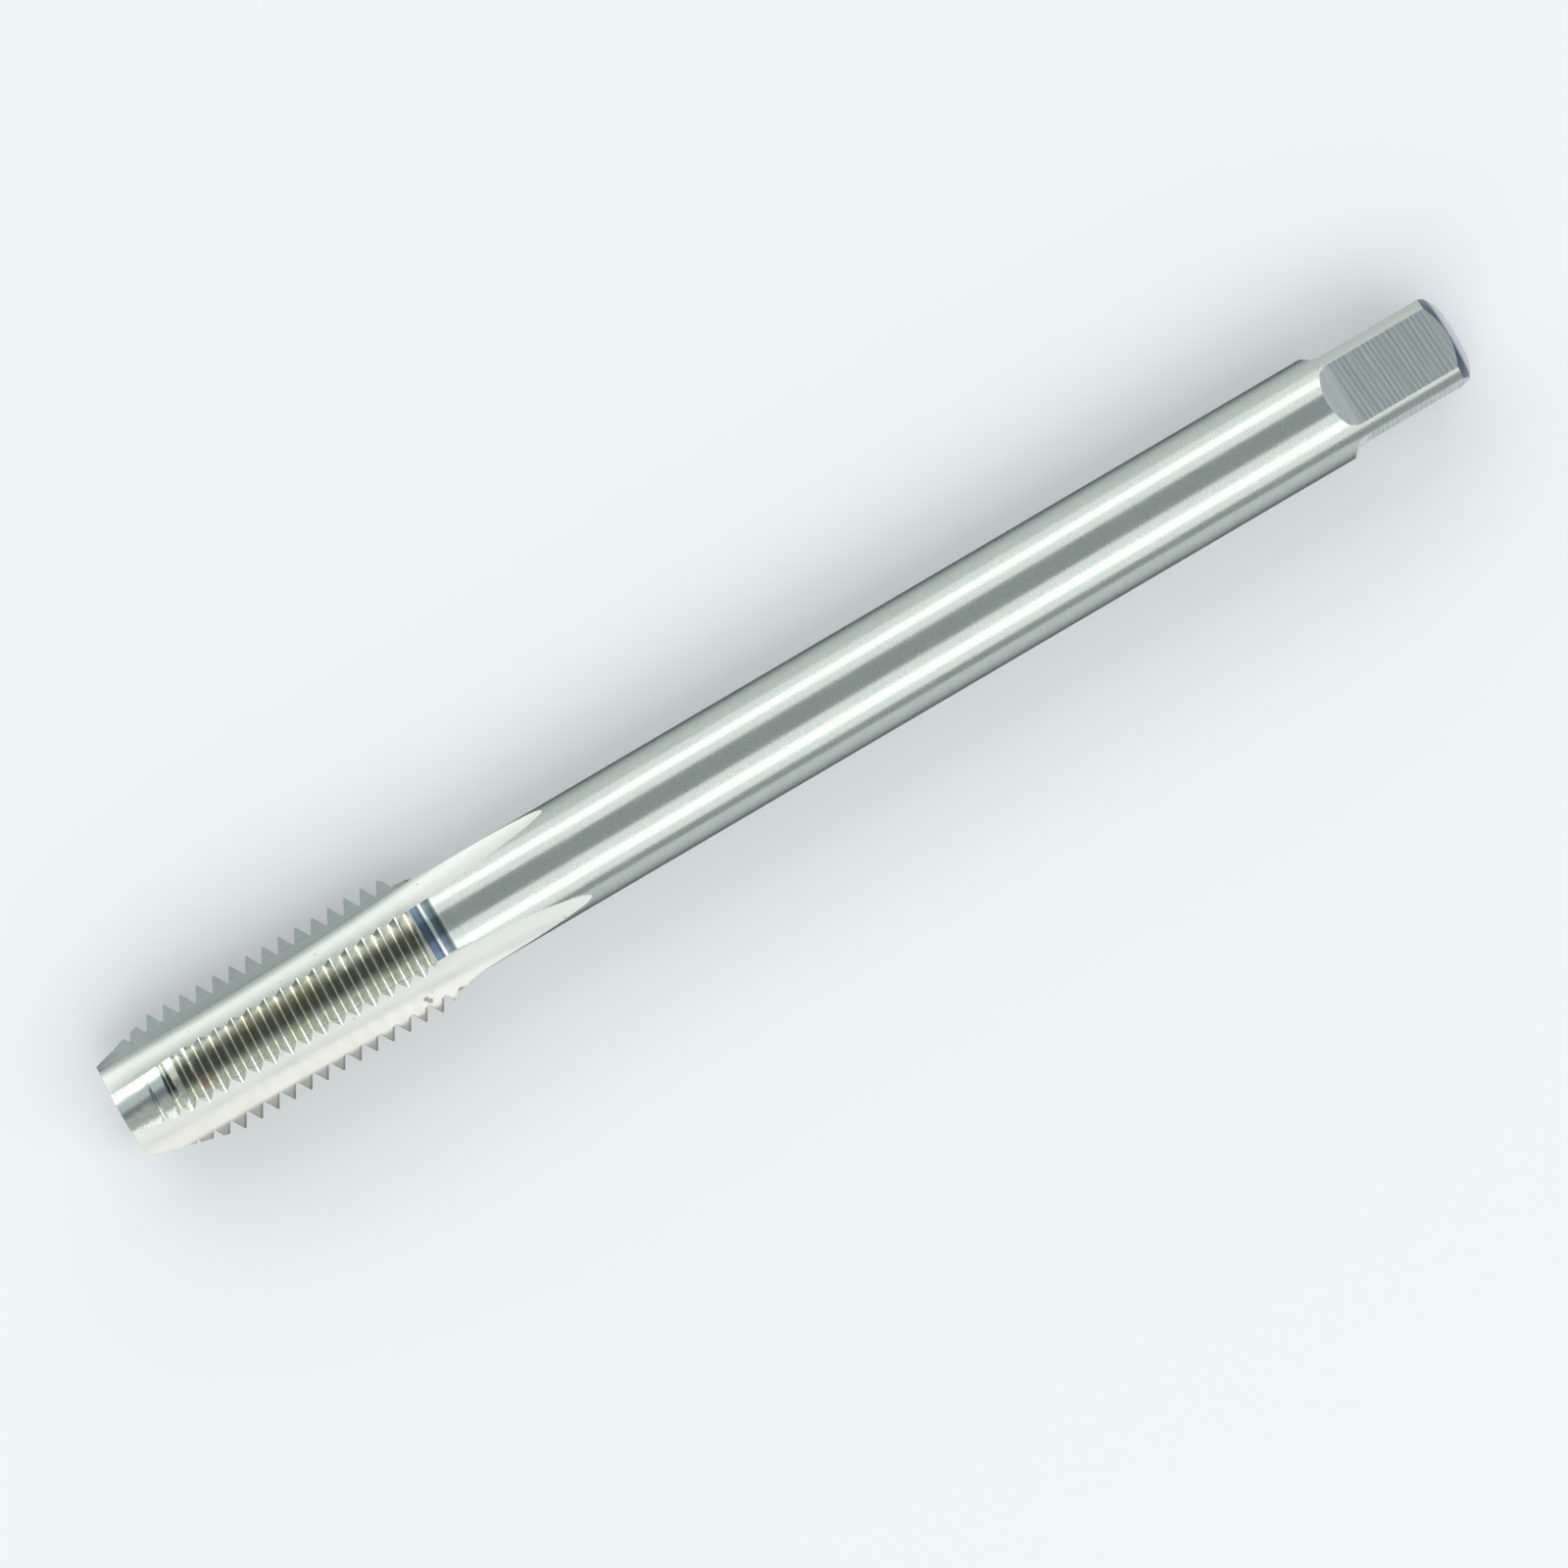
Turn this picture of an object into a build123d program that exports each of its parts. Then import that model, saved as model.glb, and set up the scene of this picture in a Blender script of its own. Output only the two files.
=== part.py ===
from build123d import *
import os
from math import asin, atan2, ceil, cos, degrees, radians, sin, sqrt, tan

# A straight-flute thread tap with three lands and a left-hand thread, ground in one
# piece from tool steel: thread and cutting lead at one end, driving square at the other.
# The axis is X, the front face is at X = 0, and the driving end points to +X. The tap
# lies as it comes to rest, on two of its lands, with the third land uppermost.
# Lengths are millimetres and angles are degrees.

overall_length = 81.0

# Thread
thread_diameter = 8.0
pitch = 1.0
flank_angle = 60.0
crest_share = 1 / 12  # of the pitch, left flat on each crest
root_share = 1 / 12  # of the pitch, left flat in each root
thread_length = 18.35
first_crest = 0.38  # from the front face, on the top land's cutting edge

# Lands, each falling away from its cutting edge to its heel
land_count = 3
land_share = 0.404  # of the angle between two cutting edges
thread_relief = 0.18

# Cutting lead at the front, where the thread tapers off
lead_length = 3.55
lead_diameter = 6.14
lead_relief = 0.52

# Flutes
core_diameter = 3.6
hook_angle = 12.0
cutting_face_width = 1.35  # from the cutting edge down to the hollow of the flute
bottom_share = 0.434  # of the flute's angle, from the cutting edge to its deepest line
flute_wheel_radius = 200.0
flute_run_out = 8.65  # from the end of the thread to where a flute leaves the shank

# Neck and shank
neck_length = 0.65
neck_taper = 0.05
neck_step = 0.06
neck_tail_length = 0.49
neck_shoulder = 0.08  # of the neck's rear end above the shank
shank_blend_length = 0.7
shank_diameter = 6.0

# Driving square and crowned end
across_flats = 4.8
square_length = 7.75
square_turn = -7.3  # of one flat's normal, from straight up
ramp_angle = 45.0
ramp_fillet = 0.8
end_chamfer = 0.85
end_chamfer_angle = 35.0
end_crown = 0.02  # how far the end chamfer swells from a straight cone
end_rounding = 1.5

# Spare stock for the tools
overrun = 1.0  # how far the cutters reach past the metal
arc_before_edge = 8.0  # the thread is swept from this far ahead of a cutting edge
arc_past_heel = 16.0  # to this far behind the heel
core_clearance = 0.1  # between the turned core and the lowest ground surface of a land

flank_run = pitch * (1 - crest_share - root_share) / 2
thread_depth = flank_run / tan(radians(flank_angle / 2))
crest_radius = thread_diameter / 2
root_radius = crest_radius - thread_depth
heel_radius = crest_radius - thread_relief
lead_radius = lead_diameter / 2
core_radius = core_diameter / 2
shank_radius = shank_diameter / 2
outside = crest_radius + 2 * overrun

land_spacing = 360 / land_count
land_angle = land_share * land_spacing
flute_angle = land_spacing - land_angle
bottom_angle = bottom_share * flute_angle

# At rest one land's cutting edge and the next land's heel are level under the tap.
edge_from_bottom = degrees(
    atan2(crest_radius / heel_radius - cos(radians(flute_angle)), sin(radians(flute_angle)))
)
top_edge = 180 - edge_from_bottom - land_spacing


def around(radius, angle):
    """Y and Z of a point at an angle from the top, which turns from +Z towards -Y."""
    return (-radius * sin(radians(angle)), radius * cos(radians(angle)))


def off_centre(relief, cutting_edge):
    """Y and Z of the centre that a land is ground about, to drop its heel by the relief."""
    return around(relief / sin(radians(land_angle)), cutting_edge + 90)


def turned(first_angle, count):
    """Places for a cutter round the axis, evenly spaced from a first angle."""
    return [Location((0, 0, 0), (first_angle + turn * 360 / count, 0, 0)) for turn in range(count)]


# The thread of one land: the row of teeth in section, swept along a left-hand helix about the
# land's own centre. It starts just ahead of the cutting edge, which here stands near the top.
rows_before_front = 3
tooth_rows = ceil(thread_length / pitch) + rows_before_front + 1
with BuildPart() as toothed_arc:
    with BuildLine() as helix:
        Helix(
            pitch=pitch,
            height=pitch * (arc_before_edge + land_angle + arc_past_heel) / 360,
            radius=root_radius,
            direction=(1, 0, 0),
            lefthand=True,
        )
    with BuildSketch(Plane.XZ):
        with BuildLine():
            teeth = []
            for row in range(tooth_rows):
                crest = row * pitch
                crest_half = crest_share * pitch / 2
                teeth += [
                    (crest - crest_half - flank_run, root_radius),
                    (crest - crest_half, crest_radius),
                    (crest + crest_half, crest_radius),
                    (crest + crest_half + flank_run, root_radius),
                ]
            front, rear = teeth[0][0], teeth[-1][0]
            Polyline(*teeth, (rear, core_radius), (front, core_radius), close=True)
        make_face()
    sweep(path=helix.wires()[0], is_frenet=True)

# One flute's cutter, standing where it would cut its deepest line at the top of the tap. Its
# flat cutting face runs down to a hollow, level at first and then climbing out of the shank
# along the rim of the grinding wheel.
flute_end = thread_length + flute_run_out
climb = sqrt(flute_wheel_radius**2 - (flute_wheel_radius - shank_radius + core_radius) ** 2)
climb_start = flute_end - climb
climb_angle = degrees(asin((climb + overrun) / flute_wheel_radius))
wheel_axis = Axis((climb_start, 0, core_radius + flute_wheel_radius), (0, -1, 0))

face_lean = radians(bottom_angle - hook_angle)
edge_y, edge_z = around(crest_radius, -bottom_angle)
face_top = (edge_y + (outside - edge_z) * tan(face_lean), outside)
face_foot = (edge_y - cutting_face_width * sin(face_lean), edge_z - cutting_face_width * cos(face_lean))
heel = around(heel_radius, flute_angle - bottom_angle)

with BuildPart() as flute:
    with BuildSketch(Plane.YZ.offset(climb_start)) as flute_section:
        with BuildLine():
            TangentArc((0, core_radius), face_foot, tangent=(1, 0))
            Polyline(face_foot, face_top, (heel[0], outside), heel)
            TangentArc((0, core_radius), heel, tangent=(-1, 0))
        make_face()
    extrude(amount=-climb_start - overrun)
    revolve(flute_section.sketch, axis=wheel_axis, revolution_arc=climb_angle)
flute_places = turned(top_edge + bottom_angle, land_count)

# The room that the lands may fill: from the front face to the 45 degree cone that ends the
# thread, less the flutes.
with BuildPart() as land_room:
    with BuildSketch(Plane.XZ):
        with BuildLine():
            Polyline(
                (0, 0),
                (0, outside),
                (thread_length - (outside - root_radius), outside),
                (thread_length, root_radius),
                (thread_length, 0),
                close=True,
            )
        make_face()
    revolve(axis=Axis.X)
    with Locations(*flute_places):
        add(flute.part, mode=Mode.SUBTRACT)

# What the cutting lead leaves of a land: a cone until it clears the crests, then all of it.
lead_slope = (crest_radius - lead_radius) / lead_length
lead_clear = lead_length + lead_relief / lead_slope
with BuildPart() as lead:
    with BuildSketch(Plane.XZ):
        with BuildLine():
            Polyline(
                (0, 0),
                (0, lead_radius),
                (lead_clear, crest_radius + lead_relief),
                (lead_clear, outside),
                (thread_length + overrun, outside),
                (thread_length + overrun, 0),
                close=True,
            )
        make_face()
    revolve(axis=Axis.X)


def ground_land(cutting_edge):
    """One land, threaded, relieved behind its cutting edge and tapered at the front."""
    arc_start = cutting_edge + arc_before_edge
    crest = first_crest + pitch * (top_edge - arc_start) / 360
    arc_place = (crest % pitch - rows_before_front * pitch, *off_centre(thread_relief, cutting_edge))
    with BuildPart() as land:
        with Locations(Location(arc_place, (arc_start, 0, 0))):
            add(toothed_arc.part)
        add(land_room.part, mode=Mode.INTERSECT)
        with Locations((0, *off_centre(lead_relief, cutting_edge))):
            add(lead.part, mode=Mode.INTERSECT)
    return land.part


# What is turned about the axis: the core under the lands, the neck, the shank and its end.
front_core_radius = lead_radius - lead_relief - core_clearance
thread_core_radius = root_radius - thread_relief - core_clearance
neck_step_start = thread_length + neck_length
neck_end = neck_step_start + neck_step + neck_tail_length
end_radius = shank_radius - end_chamfer / tan(radians(end_chamfer_angle))
with BuildPart() as turned_body:
    with BuildSketch(Plane.XZ):
        with BuildLine():
            Polyline(
                (0, 0),
                (0, front_core_radius),
                (lead_length, thread_core_radius),
                (thread_length, thread_core_radius),
                (thread_length, root_radius),
                (neck_step_start, root_radius - neck_taper),
                (neck_step_start + neck_step, root_radius - neck_taper - neck_step),
                (neck_end, shank_radius + neck_shoulder),
                (neck_end + shank_blend_length, shank_radius),
                (overall_length - end_chamfer, shank_radius),
            )
            SagittaArc(
                (overall_length - end_chamfer, shank_radius),
                (overall_length, end_radius),
                end_crown,
            )
            Polyline((overall_length, end_radius), (overall_length, 0), (0, 0))
        make_face()
    revolve(axis=Axis.X)
    fillet(turned_body.edges().group_by(Axis.X)[-1], radius=end_rounding)

# One flat's cutter, over the top: it ramps down from the shank and runs out at the end.
ramp_tangent = tan(radians(ramp_angle))
square_start = overall_length - square_length
flat_start = square_start + (shank_radius - across_flats / 2) / ramp_tangent
with BuildPart() as flat:
    with BuildSketch(Plane.XZ) as flat_section:
        with BuildLine():
            Polyline(
                (square_start - overrun / ramp_tangent, shank_radius + overrun),
                (flat_start, across_flats / 2),
                (overall_length + overrun, across_flats / 2),
                (overall_length + overrun, shank_radius + overrun),
                close=True,
            )
        make_face()
        foot_of_ramp = flat_section.vertices().group_by(Axis.Y)[0].sort_by(Axis.X)[0]
        fillet(foot_of_ramp, radius=ramp_fillet)
    extrude(amount=shank_radius + overrun, both=True)

lands = [ground_land(top_edge + land * land_spacing) for land in range(land_count)]

with BuildPart() as thread_tap:
    add(turned_body.part)
    with Locations(*flute_places):
        add(flute.part, mode=Mode.SUBTRACT)
    add(lands)
    with Locations(*turned(square_turn, 4)):
        add(flat.part, mode=Mode.SUBTRACT)

thread_tap.part.label = "thread_tap"
os.makedirs("parts", exist_ok=True)
export_step(thread_tap.part, "parts/thread_tap.step")
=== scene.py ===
import math

import bmesh
import bpy
import numpy as np
from mathutils import Matrix, Vector


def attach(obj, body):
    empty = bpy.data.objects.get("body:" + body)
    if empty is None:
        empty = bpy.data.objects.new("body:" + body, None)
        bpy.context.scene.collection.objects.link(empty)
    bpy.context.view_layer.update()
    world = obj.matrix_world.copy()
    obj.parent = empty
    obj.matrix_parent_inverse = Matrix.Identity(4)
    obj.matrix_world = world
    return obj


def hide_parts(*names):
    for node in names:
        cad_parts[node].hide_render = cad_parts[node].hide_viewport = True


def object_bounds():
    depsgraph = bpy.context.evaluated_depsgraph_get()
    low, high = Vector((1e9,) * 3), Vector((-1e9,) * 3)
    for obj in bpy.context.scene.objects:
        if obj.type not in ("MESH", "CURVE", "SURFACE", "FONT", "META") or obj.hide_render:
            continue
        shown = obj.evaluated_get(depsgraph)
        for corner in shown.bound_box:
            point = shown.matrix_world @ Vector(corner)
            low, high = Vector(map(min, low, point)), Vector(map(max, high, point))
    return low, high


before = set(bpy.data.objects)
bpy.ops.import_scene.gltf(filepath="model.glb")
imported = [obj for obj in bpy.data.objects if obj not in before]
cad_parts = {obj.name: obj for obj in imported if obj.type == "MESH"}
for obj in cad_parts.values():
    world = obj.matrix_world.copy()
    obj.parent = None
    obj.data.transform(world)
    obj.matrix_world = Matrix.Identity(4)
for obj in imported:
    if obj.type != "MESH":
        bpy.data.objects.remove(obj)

cad_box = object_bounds()

# ---------------------------------------------------------------- sizes, in millimetres
MM = 0.001

OVERALL_LENGTH = 81.0
PITCH = 1.0
CREST_RADIUS = 4.0
FLANK_RUN = 5 / 12 * PITCH
FLAT = PITCH / 12  # on each crest and in each root
THREAD_DEPTH = FLANK_RUN / math.tan(math.radians(30))
ROOT_RADIUS = CREST_RADIUS - THREAD_DEPTH
THREAD_LENGTH = 18.35
FIRST_CREST = 0.38

LANDS = 3
LAND_SPACING = 360 / LANDS
LAND_ANGLE = 0.404 * LAND_SPACING
FLUTE_ANGLE = LAND_SPACING - LAND_ANGLE
BOTTOM_ANGLE = 0.434 * FLUTE_ANGLE
THREAD_RELIEF = 0.18
HEEL_RADIUS = CREST_RADIUS - THREAD_RELIEF

LEAD_RADIUS = 3.07
LEAD_LENGTH = 3.55
LEAD_RELIEF = 0.52
LEAD_SLOPE = (CREST_RADIUS - LEAD_RADIUS) / LEAD_LENGTH

CORE_RADIUS = 1.8
HOOK_ANGLE = 12.0
FACE_WIDTH = 1.35
WHEEL_RADIUS = 200.0
FLUTE_END = THREAD_LENGTH + 8.65

SHANK_RADIUS = 3.0
NECK_STEP = THREAD_LENGTH + 0.65
NECK_GROOVE = NECK_STEP + 0.06
NECK_END = NECK_GROOVE + 0.49
SHANK_START = NECK_END + 0.7
NECK = (
    (THREAD_LENGTH, ROOT_RADIUS),
    (NECK_STEP, ROOT_RADIUS - 0.05),
    (NECK_GROOVE, ROOT_RADIUS - 0.11),
    (NECK_END, SHANK_RADIUS + 0.08),
    (SHANK_START, SHANK_RADIUS),
)

FLAT_HEIGHT = 2.4
SQUARE_TURN = -7.3
SQUARE_START = OVERALL_LENGTH - 7.75
RAMP_ANGLE = 45.0
RAMP_FILLET = 0.8
RAMP_FOOT = SQUARE_START + SHANK_RADIUS - FLAT_HEIGHT + RAMP_FILLET * math.tan(math.radians(RAMP_ANGLE / 2))
RAMP_END = RAMP_FOOT - RAMP_FILLET * math.sin(math.radians(RAMP_ANGLE))
BEVEL_LENGTH = 0.85
BEVEL_ANGLE = 35.0
BEVEL_START = OVERALL_LENGTH - BEVEL_LENGTH
BEVEL_SLOPE = math.tan(math.radians(BEVEL_ANGLE))
END_ROUNDING = 1.5
END_FLAT = SHANK_RADIUS - BEVEL_LENGTH / BEVEL_SLOPE - END_ROUNDING * math.tan(math.radians(BEVEL_ANGLE / 2))

# At rest one land's cutting edge and the next land's heel are level under the tap.
EDGE_FROM_BOTTOM = math.degrees(
    math.atan2(
        CREST_RADIUS / HEEL_RADIUS - math.cos(math.radians(FLUTE_ANGLE)),
        math.sin(math.radians(FLUTE_ANGLE)),
    )
)
TOP_EDGE = 180 - EDGE_FROM_BOTTOM - LAND_SPACING

CLIMB = math.sqrt(WHEEL_RADIUS**2 - (WHEEL_RADIUS - SHANK_RADIUS + CORE_RADIUS) ** 2)
CLIMB_START = FLUTE_END - CLIMB
WHEEL_HEIGHT = WHEEL_RADIUS + CORE_RADIUS

# Columns of one third of the section: a land, its cutting face and its flute.
LAND_STEPS = 32
FACE_STEPS = 4
RISE_STEPS = 8  # from the foot of the face to the flute's deepest line
HOLLOW_STEPS = 14  # from there to the next heel
THIRD = LAND_STEPS + FACE_STEPS + RISE_STEPS + HOLLOW_STEPS
COLUMNS = LANDS * THIRD

# Columns where the section is round, the first of them counted again at the end.
ROUND_STEPS = LANDS * LAND_STEPS
ROUND_COLUMNS = ROUND_STEPS + 1
QUARTER_STEPS = ROUND_STEPS // 4
FLAT_STEPS = 10  # from the middle of a flat to its corner
CORNER_STEPS = QUARTER_STEPS - 2 * FLAT_STEPS
FIRST_FLAT = 16  # the column down the middle of the first flat

# Rows along the tap.
FINE_STEPS = 11  # down a flank, in the lead and the run-out
LEAD_END = 5.2
RUN_OUT_START = 17.0
FIRST_STATION = -0.48
LAST_STATION = THREAD_LENGTH + 0.35
NECK_STATIONS = (THREAD_LENGTH, 18.7, NECK_STEP, NECK_GROOVE, 19.3, NECK_END, 19.9, SHANK_START)
FLUTE_END_STEPS = 22  # from the start of the shank to the end of the flutes, closer together at their end
SHANK_END = 72.9
SHANK_STATIONS = (FLUTE_END, 32.0, 40.0, 48.0, 56.0, 64.0, 70.0, SHANK_END)
RAMP_ROWS = 15
FLAT_STATIONS = (76.0, 78.5)
END_ROWS = 13

SIDE_STEPS = 200  # of each side of a flute's section, and as many again past its corner
SIDE_REACH = 3.0
SHALLOW_FACE = 0.96  # where the face begins on a side too low for its full width, as a share of the side
TINY = 1e-6


# ---------------------------------------------------------------- the tap's sections
def toward(angle):
    """Unit vector in Y and Z at an angle from the top, which turns from +Z towards -Y."""
    turn = np.radians(angle)
    return np.stack([-np.sin(turn), np.cos(turn)], axis=-1)


def hollow_side(across, height):
    """One side of a flute's hollow: the arc from its deepest line, level there, to a given point."""
    rise = height - CORE_RADIUS
    radius = (across * across + rise**2) / (2 * rise)
    sweep = np.linspace(0, math.asin(abs(across) / radius), SIDE_STEPS + 1)
    return math.copysign(1, across) * radius * np.sin(sweep), CORE_RADIUS + radius * (1 - np.cos(sweep))


def flute_section():
    """Both sides of a flute's section, from its deepest line out past the metal: its face and its wall."""
    reach = np.linspace(0, SIDE_REACH, SIDE_STEPS + 1)[1:]
    lean = math.radians(BOTTOM_ANGLE - HOOK_ANGLE)
    turn = math.radians(BOTTOM_ANGLE)
    edge = CREST_RADIUS * np.array([-math.sin(turn), math.cos(turn)])
    foot = edge + FACE_WIDTH * np.array([math.sin(lean), -math.cos(lean)])
    across, height = hollow_side(*foot)
    face_across = np.append(across, foot[0] - reach * math.sin(lean))
    face_height = np.append(height, foot[1] + reach * math.cos(lean))
    turn = math.radians(FLUTE_ANGLE - BOTTOM_ANGLE)
    heel = (HEEL_RADIUS * math.sin(turn), HEEL_RADIUS * math.cos(turn))
    across, height = hollow_side(*heel)
    wall_across = np.append(across, np.full(SIDE_STEPS, heel[0]))
    wall_height = np.append(height, heel[1] + reach)
    return (face_across, face_height), (wall_across, wall_height)


FACE_SIDE, HEEL_SIDE = flute_section()


def climbed(height, x):
    """Height of a point of the flute's section once the grinding wheel has climbed to x."""
    run = max(0.0, min(x, FLUTE_END) - CLIMB_START)
    return WHEEL_HEIGHT - np.sqrt((WHEEL_HEIGHT - height) ** 2 - run * run)


class Flute:
    """The flute behind one land's cutting edge, in its own frame at one place along the tap."""

    def __init__(self, number):
        self.bottom = TOP_EDGE + BOTTOM_ANGLE + LAND_SPACING * number
        self.up = toward(self.bottom)
        self.across = toward(self.bottom + 90)

    def point(self, side, x, index):
        """Points in Y and Z on a side of the flute, by how many of its steps they are from the bottom."""
        across = np.interp(index, np.arange(len(side[0])), side[0])
        height = climbed(np.interp(index, np.arange(len(side[1])), side[1]), x)
        return across[:, None] * self.across + height[:, None] * self.up

    def leaves(self, side, x, centre, radius):
        """Where a side of the flute comes out of a round of the given centre and radius."""
        index = np.arange(len(side[0]), dtype=float)
        away = np.linalg.norm(self.point(side, x, index) - centre, axis=1)
        return float(np.interp(radius, away, index))


FLUTES = [Flute(number) for number in range(LANDS)]


def edge_line(land):
    """Angle of a land's cutting edge."""
    return TOP_EDGE + LAND_SPACING * land


def angle_of(flute, side, x, index, near):
    """Angle of one point on a side of a flute, given about where it is."""
    point = flute.point(side, x, np.array([index]))[0]
    angle = math.degrees(math.atan2(-point[0], point[1]))
    return angle + 360 * round((near - angle) / 360)


def section(x_heel, x_edge, radius, off_centre=0.0):
    """All columns of the section, given the radius that the lands are ground to and how far off centre."""
    centres = [off_centre * toward(edge_line(k) + 90) for k in range(LANDS)]
    edges = [FLUTES[k].leaves(FACE_SIDE, x_edge[k], centres[k], radius) for k in range(LANDS)]
    heels = [FLUTES[k - 1].leaves(HEEL_SIDE, x_heel[k], centres[k], radius) for k in range(LANDS)]
    points, turns = [], []
    for k, here in enumerate(FLUTES):
        after = (k + 1) % LANDS
        first = angle_of(FLUTES[k - 1], HEEL_SIDE, x_heel[k], heels[k], edge_line(k) - LAND_ANGLE)
        last = angle_of(here, FACE_SIDE, x_edge[k], edges[k], edge_line(k))
        next_heel = angle_of(here, HEEL_SIDE, x_heel[after], heels[after], edge_line(k) + FLUTE_ANGLE)
        turn = np.linspace(first, last, LAND_STEPS + 1)
        ray = toward(turn)
        along = ray @ centres[k]
        reach = along + np.sqrt(radius**2 - off_centre**2 + along**2)
        foot = min(SIDE_STEPS, edges[k] * SHALLOW_FACE)
        face = np.linspace(edges[k], foot, FACE_STEPS + 1)[1:]
        rise = np.linspace(foot, 0, RISE_STEPS + 1)[1:]
        x_rise = np.linspace(x_edge[k], x_heel[after], RISE_STEPS + 1)[1:]
        hollow = np.linspace(0, heels[after], HOLLOW_STEPS + 1)[1:-1]
        points.append(ray * reach[:, None])
        points.append(here.point(FACE_SIDE, x_edge[k], face))
        points += [here.point(FACE_SIDE, x, np.array([index])) for x, index in zip(x_rise, rise)]
        points.append(here.point(HEEL_SIDE, x_heel[after], hollow))
        turns.append(turn)
        turns.append(np.full(FACE_STEPS + RISE_STEPS, last))
        turns.append(np.full(HOLLOW_STEPS - 1, next_heel))
    return np.concatenate(points), np.concatenate(turns)


def turned_radius(x):
    """Radius of the neck and shank before the flutes are ground."""
    places, radii = zip(*NECK)
    return float(np.interp(x, places, radii))


# ---------------------------------------------------------------- threaded length
OFF_THREAD = THREAD_RELIEF / math.sin(math.radians(LAND_ANGLE))
OFF_LEAD = LEAD_RELIEF / math.sin(math.radians(LAND_ANGLE))
LEAD_DEPTH = 1.3  # of the deepest cut where the lead takes more than the thread does
LEAD_DEPTH_END = 5.6
HALF_WAY_NUDGE = 0.001  # of a pitch, so that what lies half way always goes to the same side


def thread_stations():
    """Stations along the thread: few where it runs full, close together in the lead and the run-out."""
    top, foot = FLAT / 2, FLAT / 2 + FLANK_RUN
    middle = (top + foot) / 2
    full = [-foot, -middle, -top, top, middle, foot]
    close = [*np.linspace(-foot, -top, FINE_STEPS), 0.0, *np.linspace(top, foot, FINE_STEPS)]
    stations = []
    for row in range(-1, math.ceil(THREAD_LENGTH / PITCH) + 1):
        crest = FIRST_CREST + row * PITCH
        fine = crest < LEAD_END or crest > RUN_OUT_START
        stations += [crest + step for step in (close if fine else full)]
    within = [station for station in stations if FIRST_STATION < station < LAST_STATION]
    return [FIRST_STATION, *within, LAST_STATION]


def clamp(x):
    """A place along the tap, kept on the threaded length."""
    return min(max(x, 0.0), THREAD_LENGTH)


def helix_shift(turn):
    """How far the left-hand helix has run at an angle, nearest to the station."""
    run = PITCH * (TOP_EDGE - turn) / 360
    return run - PITCH * np.round(run / PITCH - HALF_WAY_NUDGE)


def depth_to(reach, behind):
    """Depth of a cut, measured towards the land's own centre, that leaves a given radius."""
    return CREST_RADIUS - np.hypot(reach + OFF_THREAD * np.sin(behind), OFF_THREAD * np.cos(behind))


def cleared_depth(x, behind):
    """Depth that the lead or the cone behind the thread takes off, so far behind a cutting edge."""
    lead = LEAD_RADIUS + LEAD_SLOPE * x
    lead_reach = -OFF_LEAD * math.sin(behind) + math.sqrt(lead**2 - (OFF_LEAD * math.cos(behind)) ** 2)
    tail_reach = ROOT_RADIUS + THREAD_LENGTH - x
    return max(0.0, depth_to(lead_reach, behind), depth_to(tail_reach, behind))


def threaded_row(station):
    """One row of the lands uncut, with how each point moves as the thread is cut there.

    A point moves by cut times the depth and bend times the depth squared.
    """
    x_edge = [clamp(station + helix_shift(edge_line(k))) for k in range(LANDS)]
    x_heel = [clamp(station + helix_shift(edge_line(k) - LAND_ANGLE)) for k in range(LANDS)]
    deepest = LEAD_DEPTH if station < LEAD_DEPTH_END else THREAD_DEPTH
    full, turn = section(x_heel, x_edge, CREST_RADIUS, OFF_THREAD)
    middle, _ = section(x_heel, x_edge, CREST_RADIUS - deepest / 2, OFF_THREAD)
    lowest, _ = section(x_heel, x_edge, CREST_RADIUS - deepest, OFF_THREAD)
    cut = (4 * middle - 3 * full - lowest) / deepest
    bend = 2 * (lowest - 2 * middle + full) / deepest**2
    x, cleared = np.empty(COLUMNS), np.empty(COLUMNS)
    for k in range(LANDS):
        start, after = k * THIRD, (k + 1) % LANDS
        land_end = start + LAND_STEPS + 1
        face_end = land_end + FACE_STEPS
        rise_end = face_end + RISE_STEPS
        x[start:land_end] = [clamp(station + shift) for shift in helix_shift(turn[start:land_end])]
        x[land_end:face_end] = x[land_end - 1]
        x[face_end:rise_end] = np.linspace(x_edge[k], x_heel[after], RISE_STEPS + 1)[1:]
        x[rise_end : start + THIRD] = x_heel[after]
        for column in range(start, start + THIRD):
            edge = edge_line(k) if column < rise_end else edge_line(k + 1)
            cleared[column] = cleared_depth(x[column], math.radians(edge - turn[column]))
    return x, full, turn, cut, bend, cleared


# ---------------------------------------------------------------- shank, square and end
CORNER = math.degrees(math.acos(FLAT_HEIGHT / SHANK_RADIUS))


def round_angles(blend):
    """Angles of the round columns: even behind the flutes, and on the square's corners further on."""
    even = TOP_EDGE + BOTTOM_ANGLE - LAND_SPACING + 360 / ROUND_STEPS * np.arange(ROUND_COLUMNS)
    squared = []
    for column in range(ROUND_COLUMNS):
        quarter, step = divmod(column - FIRST_FLAT, QUARTER_STEPS)
        if step <= FLAT_STEPS:
            away = step * CORNER / FLAT_STEPS
        elif step < FLAT_STEPS + CORNER_STEPS:
            away = CORNER + (step - FLAT_STEPS) * (90 - 2 * CORNER) / CORNER_STEPS
        else:
            away = 90 - (QUARTER_STEPS - step) * CORNER / FLAT_STEPS
        squared.append(SQUARE_TURN + 90 * quarter + away)
    return even + (np.array(squared) - even) * blend


SQUARED = round_angles(1.0)
FROM_FLAT = np.abs((SQUARED - SQUARE_TURN + 45) % 90 - 45)


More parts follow.
